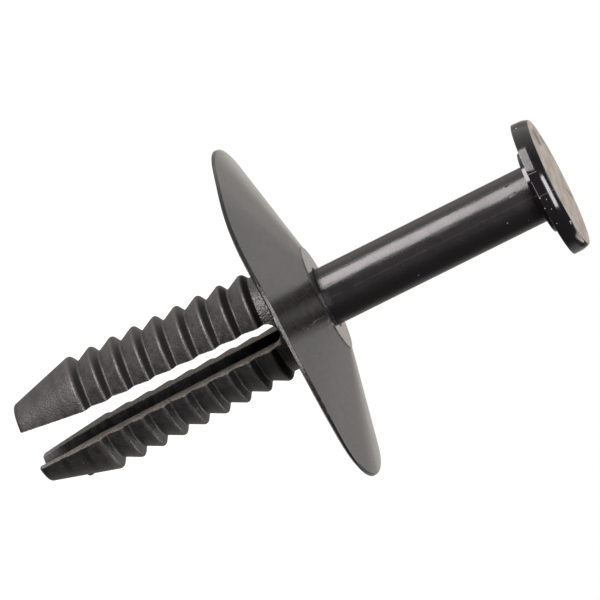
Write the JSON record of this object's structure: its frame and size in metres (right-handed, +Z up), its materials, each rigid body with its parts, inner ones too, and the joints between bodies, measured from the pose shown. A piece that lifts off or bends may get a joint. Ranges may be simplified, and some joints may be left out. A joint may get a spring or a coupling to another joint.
{
  "type": "plastic push rivet",
  "caption": "Push rivet with a wide coned flange, a split ribbed shank and a headed pin that slides down its bore to lock it.",
  "frame": {"origin": "on the rivet's axis, at the level of the toes of its legs", "axes": "+Z up the axis from the toes to the head, Y through the slot, X across the two legs"},
  "size_m": [0.025, 0.025, 0.041],
  "materials": {
    "grommet_plastic": "black moulded plastic with a fine matt grain, smoother on the flange",
    "pin_plastic": "glossy black moulded plastic"
  },
  "bodies": {
    "grommet": {"grommet": "grommet_plastic"},
    "pin": {"push_pin": "pin_plastic"}
  },
  "joints": [
    {"name": "pin_push", "type": "slide", "parent": "grommet", "child": "pin", "axis": [0, 0, -1], "range_m": [0, 0.01635]}
  ]
}
